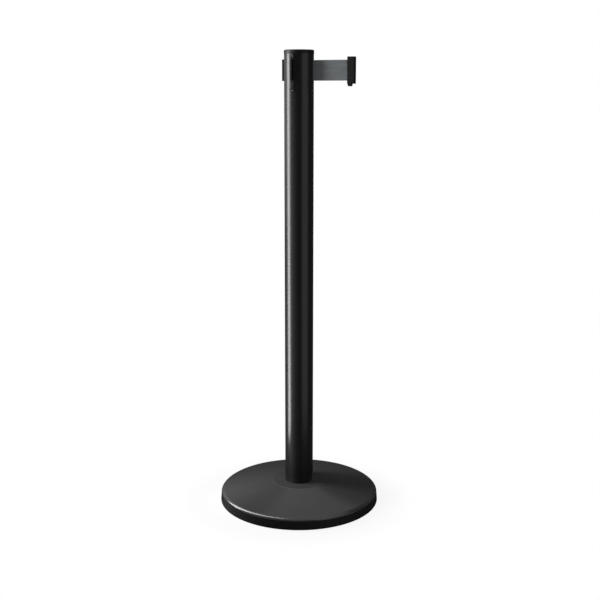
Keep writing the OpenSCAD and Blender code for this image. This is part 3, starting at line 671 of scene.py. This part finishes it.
def soften_ring(piece, radius, height, width, segments):
    """Bevel the edge loop that runs round the post at a radius and a height, in millimetres."""
    def near(vertex):
        aside = math.hypot(vertex.co.x, vertex.co.y) / MM - radius
        return max(abs(aside), abs(vertex.co.z / MM - height)) < 0.05
    work_on(piece)
    pick(piece, "EDGE", lambda e: all(near(v) for v in e.verts))
    bpy.ops.mesh.bevel(offset=width * MM, segments=segments, affect="EDGES")
    leave()


# %% [markdown]
# Every finished piece is shaded smooth up to an angle, with normals weighted by the size of
# the faces, so that flat faces stay flat beside a fine bevel. It then gets its finish, rides
# on its body and stands in for its solids of the frame.


# %% Finish a piece
def with_modifier(piece, kind, **settings):
    """Add a modifier, set it and apply it."""
    choose(piece)
    bpy.ops.object.modifier_add(type=kind)
    change = piece.modifiers[-1]
    for name, value in settings.items():
        setattr(change, name, value)
    bpy.ops.object.modifier_apply(modifier=change.name)


def dress(piece, body, slot, *nodes, angle=35):
    """Smooth a finished piece, give it its finish and tie it to its body and its solids."""
    choose(piece)
    bpy.ops.object.shade_smooth_by_angle(angle=math.radians(angle))
    with_modifier(piece, "WEIGHTED_NORMAL", keep_sharp=True, weight=100)
    piece.data.materials.clear()
    piece.data.materials.append(FINISH[slot])
    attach(piece, body)
    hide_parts(*nodes)
    print(piece.name, "faces:", len(piece.data.polygons), "stands for", nodes)


# %% [markdown]
# ## The base
# The real base is a pressed steel cover over a cast weight, with a rubber rim pulled on
# around it. All of it is round, so half a section is drawn and spun. The bright line along
# the edge is as wide as the edge is round there, so the edge is drawn as two arcs: a wide
# one that eases out of the cone, and a tight one below it, which the rubber carries on. A
# bevel would give one radius only. The step round the hub is a short slope with softened
# ends. The cover is kept out of mirrors, so that the foot of the post stays dark.

# %% Spin the cover
ROLL = ((174.0, 18.06), 5.5)      # middle and radius of the tight lower part of the edge
EASE = ((168.15, 10.58), 15.0)    # and of the wide upper part that eases into the cone
EDGE_JOIN = 52                    # degrees, where one part passes into the other
CONE_JOIN = 80.2                  # where the wide part passes into the cone
PAINT_FROM = 18.4                 # and where the paint starts, above the rubber
SKIRT_RADIUS = 175.4              # outside of the upright wall below the edge
SKIRT_SPAN = (3, 19.8)
HUB_STEP = ((62.2, 44.1), (60.7, 44.8))   # radius and height of the step's foot and top
BOLT_HOLE = 14.3
COVER_INSIDE = ((60, 43.3), (61, 42.5), (172.9, 22.4), (173.9, 21.4))   # the same corners from below


def arc_points(middle, radius, start, stop, count):
    """Points on an arc in a plane, angles in degrees."""
    angles = [math.radians(start + (stop - start) * n / count) for n in range(count + 1)]
    return [(middle[0] + radius * math.cos(a), middle[1] + radius * math.sin(a)) for a in angles]


cover = turned("cover", [
    *((SKIRT_RADIUS, height) for height in SKIRT_SPAN),
    *arc_points(*ROLL, PAINT_FROM, EDGE_JOIN, 10), *arc_points(*EASE, EDGE_JOIN, CONE_JOIN, 12)[1:],
    *HUB_STEP, (BOLT_HOLE, HUB_STEP[1][1]),
    (BOLT_HOLE, COVER_INSIDE[0][1]), *COVER_INSIDE, (COVER_INSIDE[-1][0], SKIRT_SPAN[0]),
    (SKIRT_RADIUS, SKIRT_SPAN[0])])
for radius, height in HUB_STEP:
    soften_ring(cover, radius, height, width=0.4, segments=4)
dress(cover, "post", "base_paint", "base_cover")
cover.visible_glossy = False

# %% Spin the rubber rim
RIM_REACH = (157, 180.9)
RUBBER_ARC = (4, 17.4)            # degrees of the tight arc that the rubber takes
RIM_POCKET = (175.7, 19.7)        # inner radius of its lip, and the lip's height

rim = turned("rubber_rim", [
    (RIM_REACH[0], 0), (RIM_REACH[1], 0), *arc_points(*ROLL, *RUBBER_ARC, 4), RIM_POCKET,
    (RIM_POCKET[0], SKIRT_SPAN[0]), (RIM_REACH[0], SKIRT_SPAN[0]), (RIM_REACH[0], 0)])
soften_ring(rim, RIM_REACH[1], 0, width=1.0, segments=4)
dress(rim, "post", "ring_rubber", "rim_ring")

# %% [markdown]
# ## The post and its cap
# The post is a drawn steel tube. A cylinder without end faces gets its wall from a Solidify
# modifier, and four slots with round ends are cut where the plates of the head sit. Many
# sides are used, because a glossy tube shows every facet in its long highlight. The tube is
# kept out of mirrors too, so that it leaves no streak on the base.


# %% Blocks, cuts and copies
def block(name, low_mm, high_mm):
    """Add a cube and stretch it between two corners."""
    low, high = Vector(low_mm) * MM, Vector(high_mm) * MM
    bpy.ops.object.select_all(action="DESELECT")
    bpy.ops.mesh.primitive_cube_add(size=1, location=(low + high) / 2)
    piece = bpy.context.object
    piece.name = name
    piece.scale = high - low
    settle()
    return piece


def cut(piece, *cutters):
    """Take cutters out of a piece, and clear them away."""
    for cutter in cutters:
        with_modifier(piece, "BOOLEAN", object=cutter, operation="DIFFERENCE", solver="EXACT")
        bpy.data.objects.remove(cutter)


def copy_turned(piece, name, turns, rise_mm=0):
    """Copy a piece with its own mesh, turned by quarter turns round the post and raised."""
    choose(piece)
    bpy.ops.object.duplicate(linked=False)
    copy = bpy.context.object
    copy.name = name
    copy.rotation_euler.z = turns * math.pi / 2
    copy.location.z = rise_mm * MM
    settle()
    return copy


# %% A bar with round ends
SCREW_HEIGHTS = (925.4, 997.0)
FULL_ROUND = 0.9999    # a bevel of the whole half width would leave end faces of no size


def obround(name, wide, reach):
    """A bar with round ends that lies along the post, on the belt's side of it."""
    low, high = SCREW_HEIGHTS[0] - wide / 2, SCREW_HEIGHTS[1] + wide / 2
    piece = block(name, (reach[0], -wide / 2, low), (reach[1], wide / 2, high))
    work_on(piece)
    pick(piece, "EDGE", lambda e: abs(e.verts[0].co.x - e.verts[1].co.x) > MM)
    bpy.ops.mesh.bevel(offset=wide / 2 * MM * FULL_ROUND, segments=12, affect="EDGES")
    bpy.ops.mesh.select_all(action="SELECT")
    bpy.ops.mesh.remove_doubles(threshold=0.01 * MM)
    bpy.ops.mesh.normals_make_consistent(inside=False)
    leave()
    return piece


# %% Make the tube
TUBE_RADIUS = 31.75
TUBE_WALL = 1.5
TUBE_SIDES = 256
TUBE_SPAN = (44.8, 1001.6)
TUBE_LOOPS = (915.0, 500.0)   # heights of extra loops, which keep long thin faces from the slots
PLATE_WIDE = 7.0
SLOT_GAP = 0.15
SLOT_REACH = (28.0, 36.0)

bpy.ops.object.select_all(action="DESELECT")
bpy.ops.mesh.primitive_cylinder_add(
    vertices=TUBE_SIDES, radius=TUBE_RADIUS * MM, depth=(TUBE_SPAN[1] - TUBE_SPAN[0]) * MM,
    end_fill_type="NOTHING", location=(0, 0, sum(TUBE_SPAN) / 2 * MM))
tube = bpy.context.object
tube.name = "tube"
settle()
work_on(tube)
for height in TUBE_LOOPS:
    bpy.ops.mesh.select_all(action="SELECT")
    bpy.ops.mesh.bisect(plane_co=(0, 0, height * MM), plane_no=(0, 0, 1))
leave()
with_modifier(tube, "SOLIDIFY", thickness=TUBE_WALL * MM, offset=-1)
slot_cutter = obround("slot_cutter", PLATE_WIDE + 2 * SLOT_GAP, SLOT_REACH)
cutters = [slot_cutter] + [copy_turned(slot_cutter, "slot_cutter_%d" % n, n) for n in (1, 2, 3)]
cut(tube, *cutters)
dress(tube, "post", "tube_paint", "post_tube")
tube.visible_glossy = False

# %% [markdown]
# The cap is a moulded disc with a peg. It stands half a millimetre past the tube, and its
# top edge is well rounded, so it reads as a separate, duller piece.

# %% Spin the cap
CAP_RADIUS = 32.2
CAP_TOP = 1009.8
CAP_COLLAR = (29.95, 1000.9)      # radius and foot of the collar inside the tube
CAP_RECESS = (27.45, 1007.3)      # radius and roof of the hollow under it
CAP_PEG = (9, 997.0)              # radius and foot of the peg

cap = turned("cap", [
    (0, CAP_TOP), (CAP_RADIUS, CAP_TOP), (CAP_RADIUS, TUBE_SPAN[1]),
    (CAP_COLLAR[0], TUBE_SPAN[1]), CAP_COLLAR, (CAP_RECESS[0], CAP_COLLAR[1]), CAP_RECESS,
    (CAP_PEG[0], CAP_RECESS[1]), CAP_PEG, (0, CAP_PEG[1])], steps=160)
soften_ring(cap, CAP_RADIUS, CAP_TOP, width=2.8, segments=8)
soften_ring(cap, CAP_RADIUS, TUBE_SPAN[1], width=0.3, segments=3)
dress(cap, "post", "cap_plastic", "top_cap")

# %% [markdown]
# ## Plates on the head
# Each side of the head carries a narrow plate with round ends and two sunk screws. Three of
# them hold a rail and one lets the belt out. The blank is made once. Its front edge gets a
# fine bevel before the holes are cut, so the bevel runs all the way round.

# %% A plate with its screw holes
PLATE_REACH = (30.2, 33.25)
SEAT_REACH = 31.65
HEAD_RADIUS = 1.9
HEAD_GAP = 0.05
HOLE_RADIUS = 1.3
HOLE_REACH = (28, 40)
HAIR = 0.01                       # allowance for picking edges that lie on a face


def rod(name, radius_mm, low_mm, high_mm, axis, sides=48):
    """Add a cylinder along an axis between two points."""
    low, high = Vector(low_mm) * MM, Vector(high_mm) * MM
    bpy.ops.object.select_all(action="DESELECT")
    turn = {"X": (0, math.pi / 2, 0), "Z": (0, 0, 0)}[axis]
    bpy.ops.mesh.primitive_cylinder_add(
        vertices=sides, radius=radius_mm * MM, depth=(high - low).length,
        location=(low + high) / 2, rotation=turn)
    piece = bpy.context.object
    piece.name = name
    settle()
    return piece


def plate_blank(name):
    """Plate with round ends, a softened face and two sunk screw holes."""
    piece = obround(name, PLATE_WIDE, PLATE_REACH)
    work_on(piece)
    front = (PLATE_REACH[1] - HAIR) * MM
    pick(piece, "EDGE", lambda e: all(v.co.x > front for v in e.verts))
    bpy.ops.mesh.bevel(offset=0.4 * MM, segments=3, affect="EDGES")
    leave()
    for height in SCREW_HEIGHTS:
        far = (HOLE_REACH[1], 0, height)
        cut(piece, rod("hole", HOLE_RADIUS, (HOLE_REACH[0], 0, height), far, "X"),
            rod("sink", HEAD_RADIUS + HEAD_GAP, (SEAT_REACH, 0, height), far, "X"))
    return piece


# %% Make the plates
THROUGH = (20, 40)                        # reach of a cutter that goes right through a plate
MOUTH = (1.2, 945.4, 988.5)               # half width and heights of the belt's mouth
RAIL_SLOT = (2.25, 945.15, 990.45)        # and of the slot for a rail
RECEIVERS = {"rear": 1, "left": 2, "front": 3}   # quarter turns from the belt's side


def slot_block(name, half, low, high):
    """Block that cuts a slot through a plate on the belt's side."""
    return block(name, (THROUGH[0], -half, low), (THROUGH[1], half, high))


outlet = plate_blank("outlet_front")
cut(outlet, slot_block("belt_mouth", *MOUTH))
receiver = plate_blank("receiver_blank")
cut(receiver, slot_block("rail_slot", *RAIL_SLOT))
for name, turns in RECEIVERS.items():
    dress(copy_turned(receiver, "receiver_" + name, turns), "post", "tube_paint", "receiver_plate_" + name)
bpy.data.objects.remove(receiver)
dress(outlet, "post", "tube_paint", "outlet_plate")

# %% [markdown]
# ## Rails
# A rail has a T section: the belt end of a neighbouring post slides down over it. It starts
# as the head of the T. Its back face is inset and pulled inwards as the neck, widened again
# where it fills the plate's slot, and once more as the foot behind the plate.

# %% Extrude a rail
RAIL_SPAN = (945.3, 990.3)
RAIL_HEAD = (35.55, 39.55)
RAIL_WIDE = 4.2
NECK_SPAN = (946.8, 988.8)
NECK_WIDE = 2.2
RAIL_FOOT = (29.86, 27.66)
FOOT_WIDE = 9.0


def widen(piece, reach, wide, span):
    """Set the picked back face to a width and a height span at one distance from the post."""
    shape = bmesh.from_edit_mesh(piece.data)
    corners = [v for v in shape.verts if v.select]
    middle = sum((v.co for v in corners), Vector()) / len(corners)
    size_y = max(abs(v.co.y) for v in corners) * 2
    size_z = max(v.co.z for v in corners) - min(v.co.z for v in corners)
    bpy.ops.transform.resize(
        value=(1, wide * MM / size_y, (span[1] - span[0]) * MM / size_z), center_override=middle)
    bpy.ops.transform.translate(value=(reach * MM - middle.x, 0, sum(span) / 2 * MM - middle.z))


rail = block("rail_master", (RAIL_HEAD[0], -RAIL_WIDE / 2, RAIL_SPAN[0]),
             (RAIL_HEAD[1], RAIL_WIDE / 2, RAIL_SPAN[1]))
work_on(rail)
pick(rail, "FACE", lambda f: f.normal.x < -0.9)
bpy.ops.mesh.inset(thickness=1.0 * MM)
widen(rail, RAIL_HEAD[0], NECK_WIDE, NECK_SPAN)
for reach, wide, span in (
        (PLATE_REACH[1], NECK_WIDE, NECK_SPAN), (PLATE_REACH[1], RAIL_WIDE, RAIL_SPAN),
        (RAIL_FOOT[0], RAIL_WIDE, RAIL_SPAN), (RAIL_FOOT[0], FOOT_WIDE, RAIL_SPAN),
        (RAIL_FOOT[1], FOOT_WIDE, RAIL_SPAN)):
    bpy.ops.mesh.extrude_region_move()
    widen(rail, reach, wide, span)
leave()
print("rail drawn with", len(rail.data.polygons), "faces")

# %% Round the rail and copy it
tip = (RAIL_HEAD[1] - HAIR) * MM
work_on(rail)
pick(rail, "EDGE", lambda e: all(v.co.x > tip for v in e.verts)
     and abs(e.verts[0].co.y - e.verts[1].co.y) > MM)
bpy.ops.mesh.bevel(offset=0.8 * MM, segments=6, affect="EDGES")
leave()
with_modifier(rail, "BEVEL", width=0.25 * MM, segments=2, limit_method="ANGLE", angle_limit=math.radians(40))
for name, turns in RECEIVERS.items():
    dress(copy_turned(rail, "rail_" + name, turns), "post", "rail_plastic", "receiver_rail_" + name)
bpy.data.objects.remove(rail)

# %% [markdown]
# ## Screws
# Eight small screws hold the plates. One is modelled, with a rounded head, a cross recess
# and its shank, and copied to each hole. They are joined into one piece, as in the frame.

# %% Make the screws
HEAD_FACE = 33.05
SHANK_LONG = 10.45
RECESS_REACH = (32.35, 34)
RECESS_HALF = (1.1, 0.3)

screw = rod("screw", HEAD_RADIUS, (SEAT_REACH, 0, 0), (HEAD_FACE, 0, 0), "X", sides=32)
work_on(screw)
pick(screw, "EDGE", lambda e: all(v.co.x > (HEAD_FACE - HAIR) * MM for v in e.verts))
bpy.ops.mesh.bevel(offset=0.55 * MM, segments=4, affect="EDGES")
pick(screw, "FACE", lambda f: f.normal.x < -0.9)
bpy.ops.mesh.inset(thickness=0.65 * MM)
bpy.ops.mesh.extrude_region_move(TRANSFORM_OT_translate={"value": (-SHANK_LONG * MM, 0, 0)})
leave()
for half_y, half_z in (RECESS_HALF, RECESS_HALF[::-1]):
    cut(screw, block("recess", (RECESS_REACH[0], -half_y, -half_z), (RECESS_REACH[1], half_y, half_z)))
copies = [copy_turned(screw, "screw_%d_%d" % (height, turns), turns, height)
          for height in SCREW_HEIGHTS for turns in range(4)]
bpy.data.objects.remove(screw)
choose(copies[0])
for copy in copies:
    copy.select_set(True)
bpy.ops.object.join()
screws = bpy.context.object
screws.name = "head_screws"
dress(screws, "post", "screw_steel", "plate_screws", angle=30)

# %% [markdown]
# ## The belt end
# A moulded block closes the belt. A groove in its outer face, open below, slides over the
# rail of the next post, and the belt is looped round a pin inside. The block is a cube with
# rounded upright edges, from which the groove, its narrow mouth, the chamber for the loop
# and the belt's slit are cut. A fine bevel then takes the sharpness off every edge.

# %% Make the belt end
CLIP_SPAN = (939.4, 994.5)
CLIP_REACH = (113.55, 128.95)
CLIP_HALF = 6
CHAMBER_REACH = 118.25
CHAMBER_RADIUS = 3.3
BELOW = 930                             # cutters start here, under the belt end
GROOVE = (122.85, 127.45, 2.4, 990.5)   # near side, far side, half width and top
GROOVE_MOUTH = (125, 130, 1.4, 990.5)
SLIT = (110, CHAMBER_REACH, 0.85, 988.5)


def from_below(name, near, far, half, top):
    """Block that cuts into the belt end from below."""
    return block(name, (near, -half, BELOW), (far, half, top))


clip = block("belt_end", (CLIP_REACH[0], -CLIP_HALF, CLIP_SPAN[0]),
             (CLIP_REACH[1], CLIP_HALF, CLIP_SPAN[1]))
work_on(clip)
pick(clip, "EDGE", lambda e: abs(e.verts[0].co.z - e.verts[1].co.z) > 10 * MM)
bpy.ops.mesh.bevel(offset=0.6 * MM, segments=5, affect="EDGES")
pick(clip, "EDGE", lambda e: all(v.co.z > (CLIP_SPAN[1] - HAIR) * MM for v in e.verts))
bpy.ops.mesh.bevel(offset=0.5 * MM, segments=3, affect="EDGES")
leave()
chamber = rod("chamber", CHAMBER_RADIUS, (CHAMBER_REACH, 0, BELOW), (CHAMBER_REACH, 0, GROOVE[3]), "Z")
cut(clip, from_below("groove", *GROOVE), from_below("mouth", *GROOVE_MOUTH), chamber,
    from_below("slit", *SLIT))
with_modifier(clip, "BEVEL", width=0.15 * MM, segments=2, limit_method="ANGLE", angle_limit=math.radians(50))
dress(clip, "belt_end", "clip_plastic", "belt_end_body")

# %% [markdown]
# The pin is pushed in from below. Its head tapers to a small tip with a notch across it,
# which is what shows as two nubs under the belt end.

# %% Make the pin
PIN_FOOT = 934.2
PIN_HALF = 4.5
PIN_TAPER = 7 / 9
NOTCH = (CHAMBER_REACH - 0.6, CHAMBER_REACH + 0.6, 9, 935.6)   # as for the groove
STEM_RADIUS = 3.25
STEM_RISE = (-0.6, 3.6)           # its thick part, from the underside of the belt end
STEM_LONG = 47.2                  # and its thin part above that

pin = block("pin", (CHAMBER_REACH - PIN_HALF, -PIN_HALF, PIN_FOOT),
            (CHAMBER_REACH + PIN_HALF, PIN_HALF, CLIP_SPAN[0]))
work_on(pin)
pick(pin, "FACE", lambda f: f.normal.z < -0.9)
pin_tip = (CHAMBER_REACH * MM, 0, PIN_FOOT * MM)
bpy.ops.transform.resize(value=(PIN_TAPER, PIN_TAPER, 1), center_override=pin_tip)
leave()
cut(pin, from_below("notch", *NOTCH))
with_modifier(pin, "BEVEL", width=0.3 * MM, segments=2, limit_method="ANGLE", angle_limit=math.radians(40))
stem_foot, stem_top = [(CHAMBER_REACH, 0, CLIP_SPAN[0] + rise) for rise in STEM_RISE]
stem = rod("stem", STEM_RADIUS, stem_foot, stem_top, "Z")
work_on(stem)
pick(stem, "FACE", lambda f: f.normal.z > 0.9)
bpy.ops.mesh.inset(thickness=1.25 * MM)
bpy.ops.mesh.extrude_region_move(TRANSFORM_OT_translate={"value": (0, 0, STEM_LONG * MM)})
leave()
with_modifier(pin, "BOOLEAN", object=stem, operation="UNION", solver="EXACT")
bpy.data.objects.remove(stem)
dress(pin, "belt_end", "clip_plastic", "belt_pin")

# %% [markdown]
# ## The belt
# The belt leaves the reel, bends at the outlet, runs on to the belt end and goes once round
# the pin. Between outlet and belt end it bows by a millimetre and a half, because a belt is
# never quite flat. The way is worked out in plan first, as a line of points in millimetres,
# since both the strip and its length come from it.

# %% Plan the belt's way
FREE_SPAN = (33.5, 113.9)         # the free stretch, from the outlet to the belt end
FREE_STEPS = 60
BOW = 1.5
WOUND_RADIUS = 20.8
REEL_GAP = 0.3
GUIDE_REACH = 27.95
BEND_RADIUS = 4.0
LOOP_RADIUS = 2.3
LOOP_TURN = 355
LEAVE_ANGLE = math.degrees(math.acos(WOUND_RADIUS / GUIDE_REACH))
BEND = 90 - LEAVE_ANGLE

heading = Vector((math.cos(math.radians(BEND)), math.sin(math.radians(BEND))))
leaving = Vector(arc_points((0, 0), WOUND_RADIUS, -LEAVE_ANGLE, -LEAVE_ANGLE, 1)[0]) + heading * REEL_GAP
bend_start = Vector((GUIDE_REACH, 0)) - heading * BEND_RADIUS * math.tan(math.radians(BEND / 2))
bend_middle = bend_start + Vector((heading.y, -heading.x)) * BEND_RADIUS
belt_way = [tuple(leaving)] + arc_points(bend_middle, BEND_RADIUS, BEND + 90, 90, 6)
straight = (belt_way[-1][0], CHAMBER_REACH - LOOP_RADIUS)
for n in range(1, FREE_STEPS + 1):
    reach = straight[0] + (straight[1] - straight[0]) * n / FREE_STEPS
    free = min(max((reach - FREE_SPAN[0]) / (FREE_SPAN[1] - FREE_SPAN[0]), 0), 1)
    belt_way.append((reach, -BOW * math.sin(math.pi * free)))
belt_way += arc_points((CHAMBER_REACH, 0), LOOP_RADIUS, 180, 180 - LOOP_TURN, 24)[1:]

# %% [markdown]
# A flat strip is modelled directly: an upright line, split into rows, is extruded along the
# way. A Solidify modifier gives the webbing its thickness.

# %% Weave the free belt
BELT_THICK = 0.5
BELT_ROWS = 12


def strip(name, way_mm):
    """Upright strip of the belt's width along points in plan, in millimetres."""
    rise = (BELT_SPAN[1] - BELT_SPAN[0]) / BELT_ROWS
    x, y = way_mm[0]
    piece = line_of(name, [(x * MM, y * MM, (BELT_SPAN[0] + rise * n) * MM) for n in range(BELT_ROWS + 1)])
    bpy.ops.mesh.select_all(action="SELECT")
    for here, there in zip(way_mm, way_mm[1:]):
        step = (Vector(there) - Vector(here)) * MM
        bpy.ops.mesh.extrude_region_move(TRANSFORM_OT_translate={"value": (step.x, step.y, 0)})
    leave()
    return piece


belt = strip("belt", belt_way)
with_modifier(belt, "SOLIDIFY", thickness=BELT_THICK * MM, offset=0)
bpy.ops.object.shade_smooth_by_angle(angle=math.radians(40))
belt.data.materials.append(FINISH["belt_fabric"])
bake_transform(belt)
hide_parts("belt_free")
print("belt faces:", len(belt.data.polygons))

# %% [markdown]
# The rest of the belt is wound on the reel inside the head. It doesn't show, but it is part
# of the object, so it is wound turn by turn in the same way, with a map along its length.

# %% Wind the coil
TURNS = 12
FIRST_RADIUS = 8.8
TURN_STEPS = 40
COIL_THICK = 0.45

last = TURNS * TURN_STEPS
coil_way = []
for n in range(last + 1):
    radius = FIRST_RADIUS + (WOUND_RADIUS - FIRST_RADIUS) * n / last
    angle = math.radians(-LEAVE_ANGLE - 360 * (last - n) / TURN_STEPS)
    coil_way.append((radius * math.cos(angle), radius * math.sin(angle)))
coil = strip("belt_coil", coil_way)
distance = [0.0]
for here, there in zip(coil_way, coil_way[1:]):
    distance.append(distance[-1] + math.dist(here, there) * MM)
flat_map = coil.data.uv_layers.new(name="webbing")
for loop in coil.data.loops:
    flat_map.data[loop.index].uv = (
        distance[loop.vertex_index // (BELT_ROWS + 1)], coil.data.vertices[loop.vertex_index].co.z)
with_modifier(coil, "SOLIDIFY", thickness=COIL_THICK * MM, offset=0)
dress(coil, "reel", "belt_fabric", "belt_wound")
coil.data.materials[0] = COILED_FABRIC

# %% [markdown]
# ## Solids that stay
# The weight, the bolt and everything else inside keep their CAD shape, since their shape is
# right. They only get a finish in place of the plain colour they came with. Mirrors look
# past the tube and the cover, so these solids are kept out of them as well.

# %% Dress the solids that stay
slot_of = {part["node"]: part["material_slot"] for part in frame["record"]["subparts"]}
stay = [name for name, solid in frame["nodes"].items() if not solid.hide_render]
for name in stay:
    for holder in frame["nodes"][name].material_slots:
        holder.material = FINISH[slot_of[name]]
    frame["nodes"][name].visible_glossy = False
print("solids that stay:", sorted(stay))
